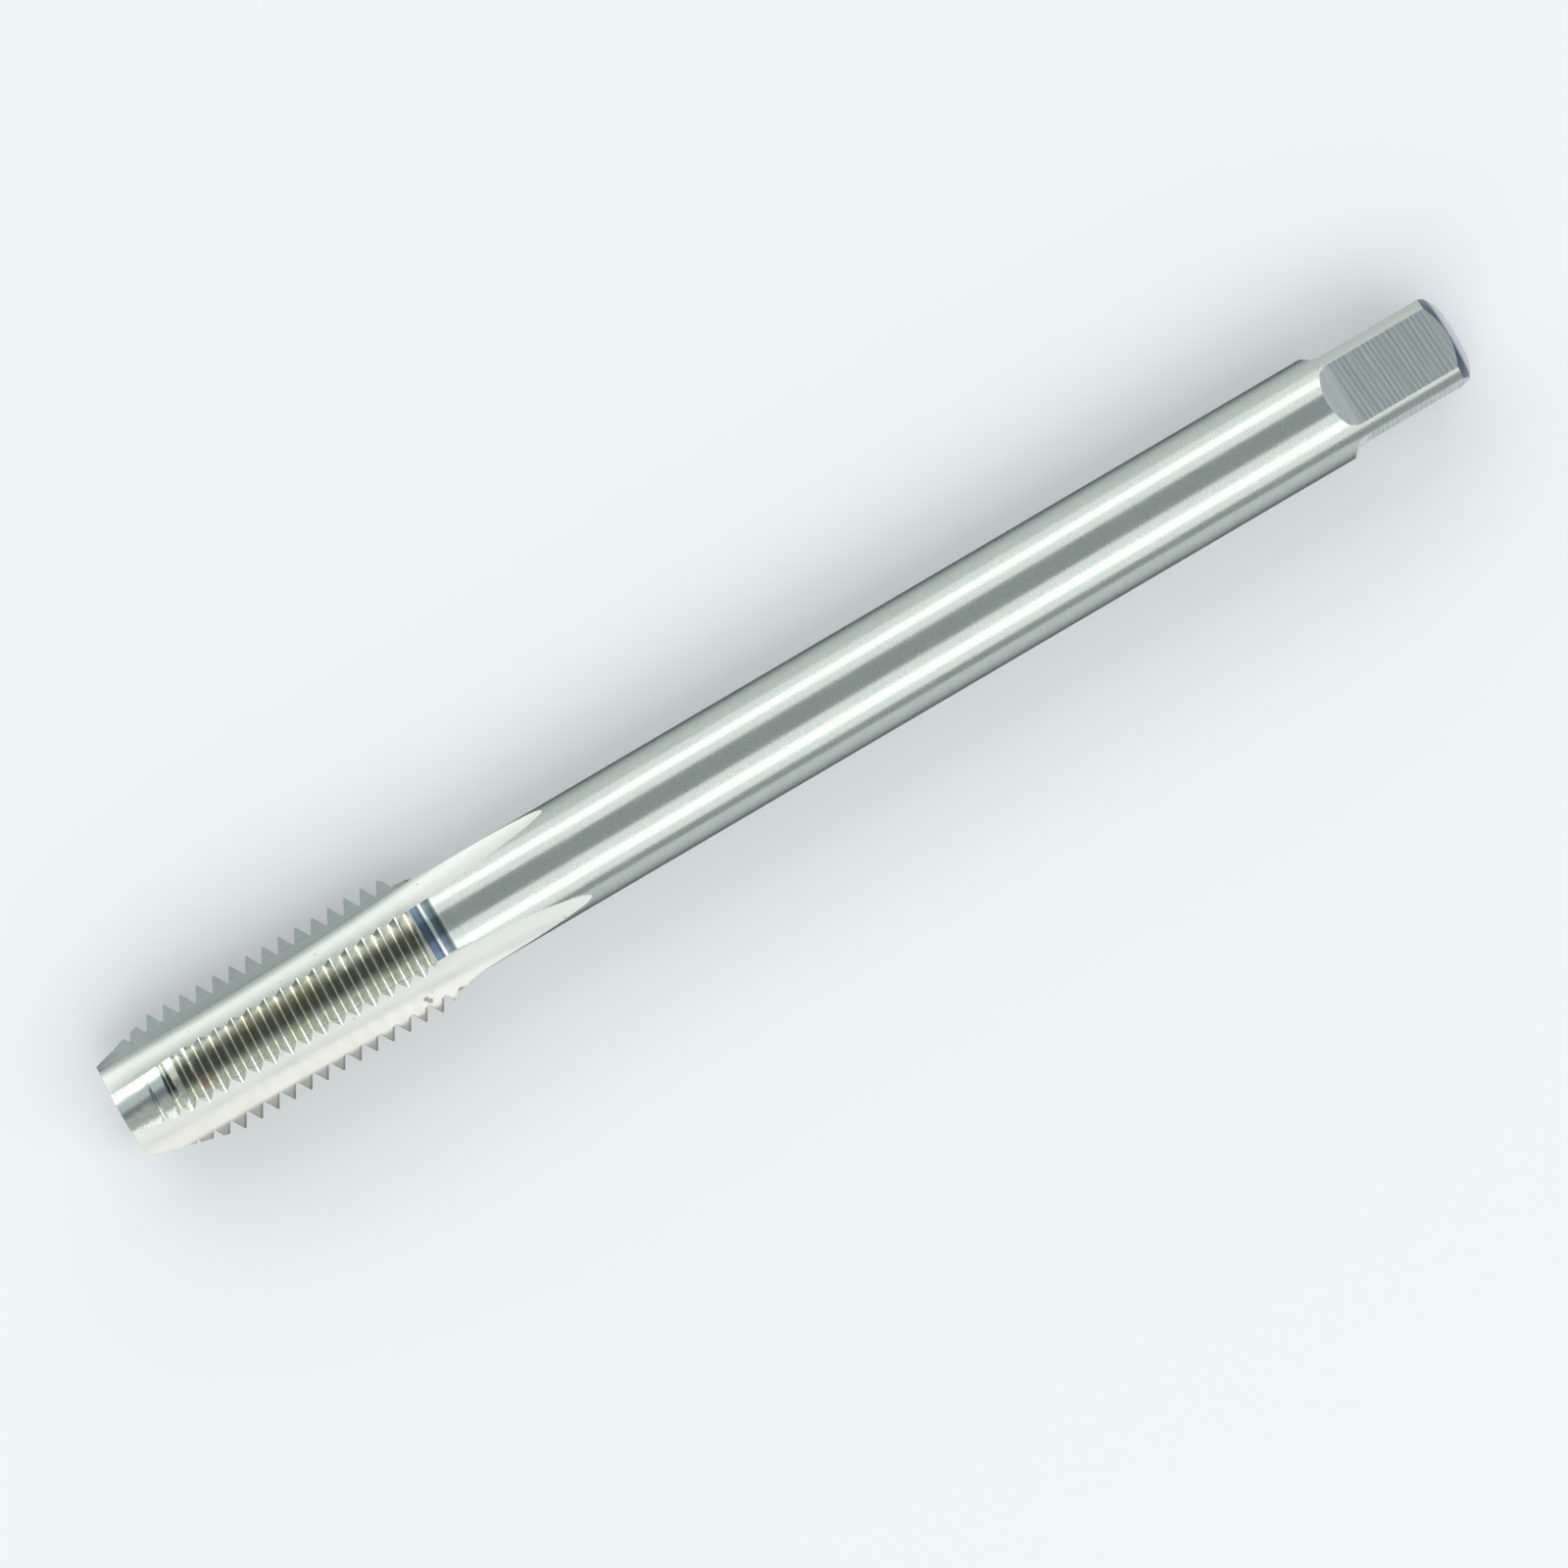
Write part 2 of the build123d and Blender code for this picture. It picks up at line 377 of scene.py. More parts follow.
def spread(values):
    """The round columns, laid out on the section's columns with each flute closed up."""
    thirds = []
    for start in range(0, ROUND_STEPS, LAND_STEPS):
        end = start + LAND_STEPS
        thirds.append(values[start : end + 1])
        thirds.append(np.full(THIRD - LAND_STEPS - 1, values[end]))
    return np.concatenate(thirds)


def round_row(x, radius, angles):
    """A round row of the section's columns: places along the tap, and points in Y and Z."""
    points = toward(angles) * np.broadcast_to(radius, ROUND_COLUMNS)[:, None]
    along = spread(np.broadcast_to(x, ROUND_COLUMNS))
    return along, np.stack([spread(points[:, 0]), spread(points[:, 1])], axis=-1)


def flat_height(x):
    """Height of a flat's surface: down the ramp, round its fillet and level to the end."""
    if x <= RAMP_END:
        return SHANK_RADIUS - (x - SQUARE_START)
    if x < RAMP_FOOT:
        return FLAT_HEIGHT + RAMP_FILLET - math.sqrt(RAMP_FILLET**2 - (RAMP_FOOT - x) ** 2)
    return FLAT_HEIGHT


def ramp_edge(away):
    """Where the ramp leaves the round of the shank, on a column so far from the flat's middle."""
    height = SHANK_RADIUS * math.cos(math.radians(away))
    if away >= CORNER - TINY:
        return RAMP_FOOT
    if height >= flat_height(RAMP_END):
        return SQUARE_START + SHANK_RADIUS - height
    return RAMP_FOOT - math.sqrt(RAMP_FILLET**2 - (FLAT_HEIGHT + RAMP_FILLET - height) ** 2)


def end_profile(radius):
    """Where the bevel and its rounding are along the tap, at a radius."""
    rounding_start = END_FLAT + END_ROUNDING * math.sin(math.radians(BEVEL_ANGLE))
    if radius >= rounding_start:
        return BEVEL_START + (SHANK_RADIUS - radius) * BEVEL_SLOPE
    return OVERALL_LENGTH - END_ROUNDING + math.sqrt(END_ROUNDING**2 - (radius - END_FLAT) ** 2)


def square_rows():
    """Places along the tap and radii of each round row of the ramps, the flats and the end."""
    rows = []
    cosine = np.cos(np.radians(FROM_FLAT))
    on_flat = FROM_FLAT < CORNER + TINY
    edge = np.array([ramp_edge(away) for away in FROM_FLAT])
    for step in np.linspace(0, 1, RAMP_ROWS):
        x = edge + (RAMP_FOOT - edge) * step
        height = np.array([flat_height(along) for along in x])
        rows.append((x, np.where(on_flat, np.minimum(height / cosine, SHANK_RADIUS), SHANK_RADIUS)))
    outer = np.where(on_flat, FLAT_HEIGHT / cosine, SHANK_RADIUS)
    for x in FLAT_STATIONS:
        rows.append((np.full(ROUND_COLUMNS, x), outer))
    for step in np.linspace(0, 1, END_ROWS):
        radii = outer + (END_FLAT - outer) * step
        rows.append((np.array([end_profile(radius) for radius in radii]), radii))
    return rows


# ---------------------------------------------------------------- the blank, as one closed mesh
ZONES = ("thread", "flute", "face", "neck", "shank", "flat", "end", "front")


def plain_row(x, points, zone):
    """A row that no thread is cut into."""
    nothing = np.zeros(COLUMNS)
    still = np.zeros((COLUMNS, 2))
    return x, points, nothing, still, still, nothing, zone


def tap_rows():
    """Every row of points along the tap, from the front face to the end, each with its zone last."""
    rows = [(*threaded_row(station), "thread") for station in thread_stations()]
    shares = [1 - step / FLUTE_END_STEPS for step in range(1, FLUTE_END_STEPS)]
    run_out = [FLUTE_END - (FLUTE_END - SHANK_START) * share**2 for share in shares]
    for x in (*NECK_STATIONS, *run_out):
        points, _ = section([x] * LANDS, [x] * LANDS, turned_radius(x))
        rows.append(plain_row(np.full(COLUMNS, x), points, "neck" if x < SHANK_START else "shank"))
    for x in SHANK_STATIONS:
        angles = round_angles((x - FLUTE_END) / (SHANK_END - FLUTE_END))
        rows.append(plain_row(*round_row(x, SHANK_RADIUS, angles), "shank"))
    for x, radii in square_rows():
        zone = "flat" if x.max() < BEVEL_START else "end"
        rows.append(plain_row(*round_row(x, radii, SQUARED), zone))
    return rows


ON_FLAT = spread(FROM_FLAT < CORNER - TINY)


def zone_of(row, column):
    """The zone of the face that starts at a row and a column."""
    zone, within = row[-1], column % THIRD
    fluted = zone in ("thread", "neck", "shank") and row[0].max() < FLUTE_END - TINY
    if fluted and within >= LAND_STEPS:
        return "face" if zone == "thread" and within < LAND_STEPS + FACE_STEPS else "flute"
    if zone == "flat" and not (ON_FLAT[column] or ON_FLAT[(column + 1) % COLUMNS]):
        return "shank"
    return zone


def tap_blank():
    """The tap before its thread is cut, with what the cutter has to know at each point."""
    rows = tap_rows()
    points = np.zeros((len(rows), COLUMNS, 3))
    vectors = {name: np.zeros((len(rows), COLUMNS, 3)) for name in ("cut", "bend")}
    numbers = {name: np.zeros((len(rows), COLUMNS)) for name in ("turn", "cleared")}
    for i, (x, across, turn, cut, bend, cleared, _) in enumerate(rows):
        points[i, :, 0] = x * MM
        points[i, :, 1:] = across * MM
        vectors["cut"][i, :, 1:] = cut
        vectors["bend"][i, :, 1:] = bend / MM
        numbers["turn"][i] = turn
        numbers["cleared"][i] = cleared * MM

    faces, zones = [], []
    for i, row in enumerate(rows[:-1]):
        for column in range(COLUMNS):
            here, after = i * COLUMNS + column, i * COLUMNS + (column + 1) % COLUMNS
            faces.append((here, after, after + COLUMNS, here + COLUMNS))
            zones.append(zone_of(row, column))
    last = (len(rows) - 1) * COLUMNS
    faces.append(tuple(reversed(range(COLUMNS))))
    faces.append(tuple(last + column for column in range(COLUMNS) if column % THIRD < LAND_STEPS))
    zones += ["front", "end"]

    mesh = bpy.data.meshes.new("tap_blank")
    mesh.from_pydata(points.reshape(-1, 3).tolist(), [], faces)
    for name, values in vectors.items():
        mesh.attributes.new(name, "FLOAT_VECTOR", "POINT").data.foreach_set("vector", values.reshape(-1))
    for name, values in numbers.items():
        mesh.attributes.new(name, "FLOAT", "POINT").data.foreach_set("value", values.reshape(-1))
    zone_numbers = [ZONES.index(zone) for zone in zones]
    mesh.attributes.new("zone", "INT", "FACE").data.foreach_set("value", zone_numbers)
    return mesh


# ---------------------------------------------------------------- node helpers
def place(tree, kind, **settings):
    """A new node in a tree, with its settings."""
    node = tree.nodes.new(kind)
    for name, value in settings.items():
        setattr(node, name, value)
    return node


def join(tree, source, target):
    tree.links.new(source, target)


def feed(tree, value, slot):
    """Joins a slot to the socket that makes its value, or sets the value on it."""
    if isinstance(value, bpy.types.NodeSocket):
        join(tree, value, slot)
    else:
        slot.default_value = value


def maths(tree, operation, *values, clamp_it=False):
    """A Math node fed by sockets or plain numbers; gives its value."""
    node = place(tree, "ShaderNodeMath", operation=operation, use_clamp=clamp_it)
    for slot, value in zip(node.inputs, values):
        feed(tree, value, slot)
    return node.outputs[0]


def ramp(tree, value, low, high, to_low=0.0, to_high=1.0, smooth=False):
    """A value brought from one range to another, held at both ends."""
    node = place(tree, "ShaderNodeMapRange", clamp=True)
    if smooth:
        node.interpolation_type = "SMOOTHSTEP"
    join(tree, value, node.inputs["Value"])
    for name, number in (("From Min", low), ("From Max", high), ("To Min", to_low), ("To Max", to_high)):
        feed(tree, number, node.inputs[name])
    return node.outputs["Result"]


# ---------------------------------------------------------------- the thread, cut by rule
WELD_DISTANCE = 0.5e-6  # in metres
SLIVER_LENGTH = 0.2e-6
SHARP_ANGLE = 22
COMPARE_FIRST, COMPARE_SECOND = 2, 3  # a Compare node's slots for whole numbers
THREAD_SIZES = {
    "Pitch": PITCH * MM,
    "Depth": THREAD_DEPTH * MM,
    "Crest Flat": FLAT * MM,
    "Root Flat": FLAT * MM,
    "First Crest": FIRST_CREST * MM,
    "Top Edge": TOP_EDGE,
}


def attribute(tree, name, kind="FLOAT"):
    """What the blank keeps under a name."""
    node = place(tree, "GeometryNodeInputNamedAttribute", data_type=kind)
    node.inputs["Name"].default_value = name
    return node.outputs["Attribute"]


def cutting_depth(tree, given):
    """Depth of the teeth by the phase of the helix, or of the lead where that takes more."""
    where = place(tree, "ShaderNodeSeparateXYZ")
    join(tree, place(tree, "GeometryNodeInputPosition").outputs[0], where.inputs[0])
    along = maths(tree, "SUBTRACT", where.outputs["X"], given["First Crest"])
    rows = maths(tree, "DIVIDE", along, given["Pitch"])
    turned = maths(tree, "DIVIDE", maths(tree, "SUBTRACT", given["Top Edge"], attribute(tree, "turn")), 360.0)
    phase = maths(tree, "SUBTRACT", rows, turned)
    off_crest = maths(tree, "ABSOLUTE", maths(tree, "SUBTRACT", phase, maths(tree, "ROUND", phase)))
    from_crest = maths(tree, "MULTIPLY", off_crest, given["Pitch"])
    crest_end = maths(tree, "MULTIPLY", given["Crest Flat"], 0.5)
    root_start = maths(tree, "MULTIPLY", maths(tree, "SUBTRACT", given["Pitch"], given["Root Flat"]), 0.5)
    tooth = ramp(tree, from_crest, crest_end, root_start, 0.0, given["Depth"])
    return maths(tree, "MAXIMUM", tooth, attribute(tree, "cleared"))


def scaled(tree, name, amount):
    """A vector that the blank keeps, times an amount."""
    node = place(tree, "ShaderNodeVectorMath", operation="SCALE")
    join(tree, attribute(tree, name, "FLOAT_VECTOR"), node.inputs[0])
    join(tree, amount, node.inputs["Scale"])
    return node.outputs[0]


def cut_to(tree, geometry, depth):
    """The blank with its points moved down to a depth, and welded where they meet."""
    offset = place(tree, "ShaderNodeVectorMath", operation="ADD")
    join(tree, scaled(tree, "cut", depth), offset.inputs[0])
    join(tree, scaled(tree, "bend", maths(tree, "MULTIPLY", depth, depth)), offset.inputs[1])
    moved = place(tree, "GeometryNodeSetPosition")
    join(tree, geometry, moved.inputs["Geometry"])
    join(tree, offset.outputs[0], moved.inputs["Offset"])
    welded = place(tree, "GeometryNodeMergeByDistance")
    welded.inputs["Distance"].default_value = WELD_DISTANCE
    join(tree, moved.outputs[0], welded.inputs["Geometry"])
    whole = place(tree, "GeometryNodeRealizeInstances")
    join(tree, welded.outputs[0], whole.inputs[0])
    return whole.outputs[0]


def finished(tree, geometry, given):
    """The tap with the finish of each zone on its faces."""
    for number, name in enumerate(ZONES):
        chosen = place(tree, "FunctionNodeCompare", data_type="INT", operation="EQUAL")
        join(tree, attribute(tree, "zone", "INT"), chosen.inputs[COMPARE_FIRST])
        chosen.inputs[COMPARE_SECOND].default_value = number
        finish = place(tree, "GeometryNodeSetMaterial")
        join(tree, geometry, finish.inputs["Geometry"])
        join(tree, chosen.outputs[0], finish.inputs["Selection"])
        join(tree, given[name.title() + " Finish"], finish.inputs["Material"])
        geometry = finish.outputs[0]
    return geometry


def thread_cutter():
    """Geometry nodes that cut the thread into the lands and give each surface its finish."""
    tree = bpy.data.node_groups.new("cut_thread", "GeometryNodeTree")
    sockets = tree.interface
    sockets.new_socket("Geometry", in_out="INPUT", socket_type="NodeSocketGeometry")
    for name in THREAD_SIZES:
        sockets.new_socket(name, in_out="INPUT", socket_type="NodeSocketFloat")
    for name in ZONES:
        sockets.new_socket(name.title() + " Finish", in_out="INPUT", socket_type="NodeSocketMaterial")
    sockets.new_socket("Geometry", in_out="OUTPUT", socket_type="NodeSocketGeometry")
    given = place(tree, "NodeGroupInput").outputs
    result = place(tree, "NodeGroupOutput").inputs
    cut = cut_to(tree, given["Geometry"], cutting_depth(tree, given))
    join(tree, finished(tree, cut, given), result[0])
    return tree


def cut_thread(blank, finishes):
    """The mesh that the thread cutter makes of a blank."""
    tree = thread_cutter()
    modifier = blank.modifiers.new("thread", "NODES")
    modifier.node_group = tree
    values = dict(THREAD_SIZES)
    for zone, material in finishes.items():
        values[zone.title() + " Finish"] = material
    for socket in tree.interface.items_tree:
        if socket.item_type == "SOCKET" and socket.in_out == "INPUT" and socket.name in values:
            modifier[socket.identifier] = values[socket.name]
    evaluated = blank.evaluated_get(bpy.context.evaluated_depsgraph_get())
    mesh = bpy.data.meshes.new_from_object(evaluated)
    blank.modifiers.remove(modifier)
    return mesh


def drop_slivers(mesh):
    """Takes out edges of next to no length."""
    shape = bmesh.new()
    shape.from_mesh(mesh)
    bmesh.ops.dissolve_degenerate(shape, dist=SLIVER_LENGTH, edges=shape.edges)
    shape.to_mesh(mesh)
    shape.free()


def threaded_tap(finishes):
    """The whole tap as one piece, smooth but for its sharp edges."""
    blank = bpy.data.objects.new("tap_blank", tap_blank())
    bpy.context.scene.collection.objects.link(blank)
    mesh = cut_thread(blank, finishes)
    bpy.data.objects.remove(blank)
    mesh.name = "ground_tap"
    drop_slivers(mesh)
    mesh.polygons.foreach_set("use_smooth", [True] * len(mesh.polygons))
    mesh.set_sharp_from_angle(angle=math.radians(SHARP_ANGLE))
    for name in ("cut", "bend", "cleared", "turn"):
        if name in mesh.attributes:
            mesh.attributes.remove(mesh.attributes[name])
    tap = bpy.data.objects.new("ground_tap", mesh)
    bpy.context.scene.collection.objects.link(tap)
    return tap


# ---------------------------------------------------------------- shared effects
MM_PER_METRE = 1000.0


def effect(name, outputs, **inputs):
    """A group that takes a place on the tap as its Vector, and inputs with their usual values."""
    tree = bpy.data.node_groups.new(name, "ShaderNodeTree")
    tree.interface.new_socket("Vector", in_out="INPUT", socket_type="NodeSocketVector")
    for label, value in inputs.items():
        kind = "NodeSocketVector" if isinstance(value, tuple) else "NodeSocketFloat"
        tree.interface.new_socket(label, in_out="INPUT", socket_type=kind).default_value = value
    for label in outputs:
        tree.interface.new_socket(label, in_out="OUTPUT", socket_type="NodeSocketFloat")
    return tree, place(tree, "NodeGroupInput").outputs, place(tree, "NodeGroupOutput").inputs


def stretched(tree, vector, scale):
    """A place scaled along each axis, to draw a noise out."""
    node = place(tree, "ShaderNodeVectorMath", operation="MULTIPLY")
    join(tree, vector, node.inputs[0])
    feed(tree, scale, node.inputs[1])
    return node.outputs[0]


def noise(tree, vector, scale, detail=3.0, roughness=0.55):
    """A noise with about so many waves to the metre."""
    node = place(tree, "ShaderNodeTexNoise")
    feed(tree, scale, node.inputs["Scale"])
    node.inputs["Detail"].default_value = detail
    node.inputs["Roughness"].default_value = roughness
    join(tree, vector, node.inputs["Vector"])
    return node.outputs[0]


def round_the_axis():
    """Place along the tap and radius, in millimetres, and the angle from the top in degrees."""
    tree, given, result = effect("round the axis", ("Along", "Radius", "Angle"))
    part = place(tree, "ShaderNodeSeparateXYZ")
    join(tree, given["Vector"], part.inputs[0])
    x, y, z = part.outputs
    join(tree, maths(tree, "MULTIPLY", x, MM_PER_METRE), result["Along"])
    squares = maths(tree, "ADD", maths(tree, "MULTIPLY", y, y), maths(tree, "MULTIPLY", z, z))
    radius = maths(tree, "SQRT", squares)
    join(tree, maths(tree, "MULTIPLY", radius, MM_PER_METRE), result["Radius"])
    angle = maths(tree, "ARCTAN2", maths(tree, "MULTIPLY", y, -1.0), z)
    join(tree, maths(tree, "MULTIPLY", angle, 180 / math.pi), result["Angle"])
    return tree


def grinding_lines():
    """Fine lines that a wheel or cutter leaves: a stretched noise, as a mask and a height."""
    tree, given, result = effect("grinding lines", ("Lines", "Height"), Stretch=(1.0, 1.0, 1.0), Contrast=1.0)
    base = stretched(tree, given["Vector"], given["Stretch"])
    fine = noise(tree, base, 9000.0, 2.0, 0.6)
    coarse = noise(tree, base, 2600.0, 2.0, 0.5)
    mixed = maths(tree, "ADD", maths(tree, "MULTIPLY", fine, 0.55), maths(tree, "MULTIPLY", coarse, 0.45))
    centred = maths(tree, "MULTIPLY", maths(tree, "SUBTRACT", mixed, 0.5), given["Contrast"])
    join(tree, maths(tree, "ADD", centred, 0.5, clamp_it=True), result["Lines"])
    join(tree, mixed, result["Height"])
    return tree


def fine_speckle():
    """Small darker and lighter specks of a satin steel surface."""
    tree, given, result = effect("fine speckle", ("Speckle", "Clouds"), Size=0.06, Amount=0.5)
    scale = maths(tree, "DIVIDE", MM_PER_METRE, given["Size"])
    grain = noise(tree, given["Vector"], scale, 2.0, 0.6)
    sharp = ramp(tree, grain, 0.36, 0.64)
    centred = maths(tree, "MULTIPLY", maths(tree, "SUBTRACT", sharp, 0.5), given["Amount"])
    join(tree, maths(tree, "ADD", centred, 0.5, clamp_it=True), result["Speckle"])
    join(tree, noise(tree, given["Vector"], 420.0, 3.0, 0.55), result["Clouds"])
    return tree


def oil_stain():
    """A soft, uneven patch round a centre, such as a trace of dried oil."""
    tree, given, result = effect("oil stain", ("Mask",), Centre=(0.0, 0.0, 0.0), Reach=0.5)
    away = place(tree, "ShaderNodeVectorMath", operation="DISTANCE")
    join(tree, given["Vector"], away.inputs[0])
    join(tree, given["Centre"], away.inputs[1])
    distance = maths(tree, "MULTIPLY", away.outputs["Value"], MM_PER_METRE)
    share = maths(tree, "DIVIDE", distance, given["Reach"])
    ragged = maths(tree, "ADD", share, maths(tree, "MULTIPLY", noise(tree, given["Vector"], 2600.0), 0.9))
    join(tree, ramp(tree, ragged, 0.85, 1.35, 1.0, 0.0, smooth=True), result["Mask"])
    return tree


def cutter_marks():
    """Even marks across the tool that a milling cutter leaves at each turn, some deeper."""
    tree, given, result = effect("cutter marks", ("Marks",), Spacing=0.3)
    parts = place(tree, "ShaderNodeSeparateXYZ")
    join(tree, given["Vector"], parts.inputs[0])
    across = stretched(tree, given["Vector"], (1.0, 0.03, 0.03))
    slant = 0.07
    slanted = maths(tree, "ADD", parts.outputs["X"], maths(tree, "MULTIPLY", parts.outputs["Y"], slant))
    turns = maths(tree, "DIVIDE", maths(tree, "MULTIPLY", slanted, MM_PER_METRE), given["Spacing"])
    wobble = maths(tree, "MULTIPLY", noise(tree, across, 800.0, 2.0), 1.5)
    wave = maths(tree, "SINE", maths(tree, "MULTIPLY", maths(tree, "ADD", turns, wobble), 2 * math.pi))
    depth = ramp(tree, noise(tree, across, 1700.0, 1.0), 0.3, 0.7, 0.12, 0.45)
    fine = maths(tree, "MULTIPLY", maths(tree, "SUBTRACT", noise(tree, across, 9000.0, 2.0), 0.5), 1.2)
    marks = maths(tree, "ADD", maths(tree, "MULTIPLY", wave, depth), fine)
    join(tree, maths(tree, "ADD", marks, 0.5, clamp_it=True), result["Marks"])
    return tree


def specks():
    """A few small dark specks, one to a cell and most cells empty."""
    tree, given, result = effect("specks", ("Mask",), Spacing=1.5, Size=0.07)
    cells = place(tree, "ShaderNodeTexVoronoi")
    join(tree, given["Vector"], cells.inputs["Vector"])
    join(tree, maths(tree, "DIVIDE", MM_PER_METRE, given["Spacing"]), cells.inputs["Scale"])
    away = maths(tree, "MULTIPLY", cells.outputs["Distance"], given["Spacing"])
    share = maths(tree, "DIVIDE", away, given["Size"])
    chance = place(tree, "ShaderNodeSeparateColor")
    join(tree, cells.outputs["Color"], chance.inputs[0])
    empty_share = 0.6
    there = maths(tree, "GREATER_THAN", chance.outputs[0], empty_share)
    join(tree, maths(tree, "MULTIPLY", ramp(tree, share, 0.5, 1.1, 1.0, 0.0), there), result["Mask"])
    return tree


def from_each_land(tree, angle, centre):
    """Degrees from the nearest of the lines that stand at an angle on one land and on the others."""
    half = LAND_SPACING / 2
    beyond = maths(tree, "ADD", maths(tree, "SUBTRACT", angle, centre), half)
    return maths(tree, "SUBTRACT", maths(tree, "FLOORED_MODULO", beyond, LAND_SPACING), half)


def painted_shade_beside_teeth(tree, axis):
    """Painted shade: dark strips beside the flanks of the teeth where the wall of a flute cuts them, wider at
    the rear.
    """
    turn = maths(tree, "DIVIDE", maths(tree, "SUBTRACT", axis["Angle"], TOP_EDGE), 360.0)
    rows = maths(tree, "DIVIDE", maths(tree, "SUBTRACT", axis["Along"], FIRST_CREST), PITCH)
    row_share = maths(tree, "FRACT", maths(tree, "ADD", maths(tree, "ADD", rows, turn), 0.5))
    past_crest = maths(tree, "MULTIPLY", maths(tree, "SUBTRACT", row_share, 0.5), PITCH)
    below_crest = maths(tree, "SUBTRACT", HEEL_RADIUS, axis["Radius"])
    half_tooth = maths(tree, "ADD", maths(tree, "MULTIPLY", below_crest, FLANK_RUN / THREAD_DEPTH), FLAT / 2)
    rear = ramp(tree, maths(tree, "SUBTRACT", half_tooth, past_crest), 0.10, 0.19, 1.0, 0.0)
    front = ramp(tree, maths(tree, "ADD", half_tooth, past_crest), 0.03, 0.09, 0.6, 0.0)
    root = ROOT_RADIUS - THREAD_RELIEF
    on_teeth = ramp(tree, axis["Radius"], root, root + 0.06)
    return maths(tree, "MULTIPLY", maths(tree, "MAXIMUM", rear, front), on_teeth)


AXIS = round_the_axis()
LINES = grinding_lines()
SPECKLE = fine_speckle()
STAIN = oil_stain()
CUTTER_MARKS = cutter_marks()
SPECKS = specks()
MIX_SHARE, MIX_BELOW, MIX_ABOVE, MIX_RESULT = 0, 6, 7, 2  # a Mix node's slots for colours


class Finish:
    """One steel finish: a Principled surface and the effects placed in front of it."""

    def __init__(self, name):
        self.material = bpy.data.materials.new(name)
        self.material.use_nodes = True
        self.tree = self.material.node_tree
        self.surface = self.tree.nodes["Principled BSDF"]
        self.surface.inputs["Metallic"].default_value = 1.0
        self.position = place(self.tree, "ShaderNodeTexCoord").outputs["Object"]

    def use(self, group, **values):
        """The outputs of a shared effect, with values of its own."""
        node = place(self.tree, "ShaderNodeGroup", node_tree=group)
        join(self.tree, self.position, node.inputs["Vector"])
        for name, value in values.items():
            node.inputs[name].default_value = value
        return node.outputs

    def mix(self, share, below, above):
        """Two colours mixed, each a socket or plain numbers."""
        node = place(self.tree, "ShaderNodeMix", data_type="RGBA")
        for slot, value in ((MIX_SHARE, share), (MIX_BELOW, below), (MIX_ABOVE, above)):
            feed(self.tree, (*value, 1.0) if isinstance(value, tuple) else value, node.inputs[slot])
        return node.outputs[MIX_RESULT]

    def tint(self, base, mask, strength, colour):
        """A base with a colour laid over it, by a mask times a strength."""
        return self.mix(maths(self.tree, "MULTIPLY", mask, strength), base, colour)

    def colours(self, value, stops):
        """A colour looked up along a bar of stops, of which a new bar already has two."""
        node = place(self.tree, "ShaderNodeValToRGB")
        bar = node.color_ramp
        for number, (position, colour) in enumerate(stops):
            stop = bar.elements[number] if number < 2 else bar.elements.new(position)
            stop.position = position
            stop.color = (*colour, 1.0)
        join(self.tree, value, node.inputs[0])
        return node.outputs[0]

    def paint(self, colour, roughness):
        join(self.tree, colour, self.surface.inputs["Base Color"])
        join(self.tree, roughness, self.surface.inputs["Roughness"])

    def relief(self, height, depth):
        """Fine relief, so many millimetres deep where the height is 1."""
        bump = place(self.tree, "ShaderNodeBump")
        bump.inputs["Strength"].default_value = 1.0
        bump.inputs["Distance"].default_value = depth * MM
        join(self.tree, height, bump.inputs["Height"])
        join(self.tree, bump.outputs[0], self.surface.inputs["Normal"])


# ---------------------------------------------------------------- finishes
def satin_shank():
    """Satin grey shank, speckled, with faint lines round it."""
    finish = Finish("satin ground shank")
    finish.surface.inputs["Specular Tint"].default_value = (0.25, 0.28, 0.30, 1)
    speckle = finish.use(SPECKLE, Size=0.085, Amount=1.0)
    lines = finish.use(LINES, Stretch=(1.0, 0.03, 0.03), Contrast=1.6)
    base = finish.mix(speckle["Speckle"], (0.44, 0.485, 0.45), (0.555, 0.59, 0.545))
    base = finish.tint(base, lines["Lines"], 0.3, (0.60, 0.63, 0.57))
    rough = ramp(finish.tree, speckle["Clouds"], 0.3, 0.7, 0.14, 0.20)
    finish.paint(base, rough)
    finish.relief(maths(finish.tree, "ADD", lines["Height"], speckle["Speckle"]), 0.0006)
    return finish.material


